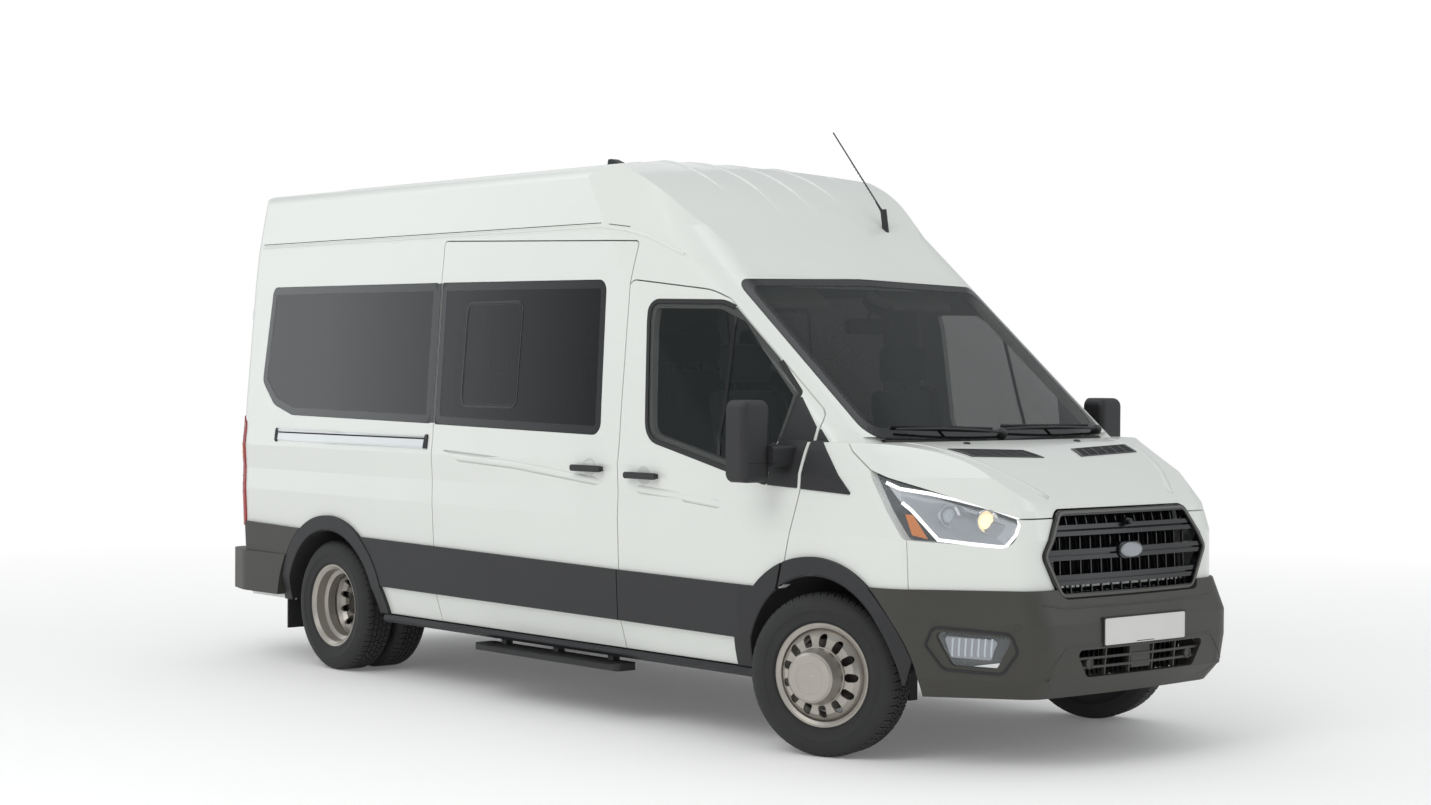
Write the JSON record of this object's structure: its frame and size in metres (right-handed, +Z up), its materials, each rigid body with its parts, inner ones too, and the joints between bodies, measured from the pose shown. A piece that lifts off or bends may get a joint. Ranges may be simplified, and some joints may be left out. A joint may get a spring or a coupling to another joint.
{
  "type": "minibus",
  "caption": "Long, high-roofed passenger minibus with a short sloping bonnet, twin rear wheels, opening front and rear doors, and rows of seats behind side glass.",
  "frame": {"origin": "on the ground, at the middle of the length and of the width over the mirrors", "axes": "+X forward, +Y to the vehicle's left, +Z up"},
  "size_m": [5.9808, 2.474, 2.8503],
  "materials": {
    "paint": "satin warm off-white",
    "black_trim": "fine grained, unpainted",
    "gloss_black": "glossy",
    "window_glass": "lightly tinted",
    "dark_glass": "privacy tint",
    "lamp_clear": "clear lens",
    "lamp_red": "glossy red lens",
    "wheel_steel": "warm silver paint, fine grain",
    "tyre_rubber": "matt",
    "cast_metal": "matt black",
    "steel_dark": "matt black paint",
    "exhaust_steel": "dull",
    "rail_metal": "satin",
    "floor_vinyl": "matt",
    "dash_plastic": "matt",
    "seat_fabric": "woven",
    "seat_steel": "matt black paint"
  },
  "bodies": {
    "body": {"side_wall_left": "paint", "side_wall_right": "paint", "roof": "paint", "sliding_door": "paint", "side_glass": "dark_glass", "windscreen": "window_glass", "front_wings": "paint", "nose_panel": "paint", "front_lamps": "lamp_clear", "body_trim": "black_trim", "door_rail": "rail_metal", "tail_lamps": "lamp_red", "front_bumper": "black_trim", "grille": "gloss_black", "rear_bumper": "black_trim", "floor": "floor_vinyl", "wheel_liners": "black_trim", "bulkhead": "steel_dark", "chassis": "steel_dark", "rear_axle": "cast_metal", "suspension": "steel_dark", "engine": "cast_metal", "exhaust": "exhaust_steel", "fuel_tank": "black_trim", "seat_cushions": "seat_fabric", "seat_frames": "seat_steel", "dashboard": "dash_plastic", "steering_wheel": "dash_plastic", "roof_aerials": "black_trim"},
    "wheel_front_left": {"tyre_front_left": "tyre_rubber", "rim_front_left": "wheel_steel"},
    "wheel_front_right": {"tyre_front_right": "tyre_rubber", "rim_front_right": "wheel_steel"},
    "wheels_rear_left": {"tyres_rear_left": "tyre_rubber", "rims_rear_left": "wheel_steel"},
    "wheels_rear_right": {"tyres_rear_right": "tyre_rubber", "rims_rear_right": "wheel_steel"},
    "knuckle_left": {"knuckle_left": "cast_metal"},
    "knuckle_right": {"knuckle_right": "cast_metal"},
    "front_door_left": {"front_door_left": "paint", "front_door_glass_left": "window_glass", "front_door_trim_left": "black_trim"},
    "front_door_right": {"front_door_right": "paint", "front_door_glass_right": "window_glass", "front_door_trim_right": "black_trim"},
    "rear_door_left": {"rear_door_left": "paint", "rear_door_glass_left": "dark_glass"},
    "rear_door_right": {"rear_door_right": "paint", "rear_door_glass_right": "dark_glass"},
    "bonnet": {"bonnet": "paint"}
  },
  "joints": [
    {"name": "steer_left", "type": "hinge", "parent": "body", "child": "knuckle_left", "pos_m": [1.9935, 0.84, 0.3495], "axis": [0, 0, 1], "range_deg": [-54, 16]},
    {"name": "steer_right", "type": "hinge", "parent": "body", "child": "knuckle_right", "pos_m": [1.9935, -0.84, 0.3495], "axis": [0, 0, 1], "range_deg": [-54, 16]},
    {"name": "spin_front_left", "type": "hinge", "parent": "knuckle_left", "child": "wheel_front_left", "pos_m": [1.97787, 0.88538, 0.3495], "axis": [-0.3256, 0.9455, 0], "continuous": true},
    {"name": "spin_front_right", "type": "hinge", "parent": "knuckle_right", "child": "wheel_front_right", "pos_m": [2.00913, -0.88538, 0.3495], "axis": [-0.3256, 0.9455, 0], "continuous": true},
    {"name": "spin_rear_left", "type": "hinge", "parent": "body", "child": "wheels_rear_left", "pos_m": [-1.7825, 0.8, 0.3495], "axis": [0, 1, 0], "continuous": true},
    {"name": "spin_rear_right", "type": "hinge", "parent": "body", "child": "wheels_rear_right", "pos_m": [-1.7825, -0.8, 0.3495], "axis": [0, 1, 0], "continuous": true},
    {"name": "open_front_door_left", "type": "hinge", "parent": "body", "child": "front_door_left", "pos_m": [1.9475, 1.012, 1.2], "axis": [0, 0, -1], "range_deg": [0, 70]},
    {"name": "open_front_door_right", "type": "hinge", "parent": "body", "child": "front_door_right", "pos_m": [1.9475, -1.012, 1.2], "axis": [0, 0, 1], "range_deg": [0, 70]},
    {"name": "open_rear_door_left", "type": "hinge", "parent": "body", "child": "rear_door_left", "pos_m": [-2.767, 0.902, 1.5], "axis": [0, 0, -1], "range_deg": [0, 180]},
    {"name": "open_rear_door_right", "type": "hinge", "parent": "body", "child": "rear_door_right", "pos_m": [-2.767, -0.902, 1.5], "axis": [0, 0, 1], "range_deg": [0, 180]},
    {"name": "open_bonnet", "type": "hinge", "parent": "body", "child": "bonnet", "pos_m": [2.1055, 0, 1.352], "axis": [0, -1, 0], "range_deg": [0, 50]}
  ],
  "couplings": [
    {"joint": "steer_right", "follows": "steer_left", "ratio": 1}
  ]
}
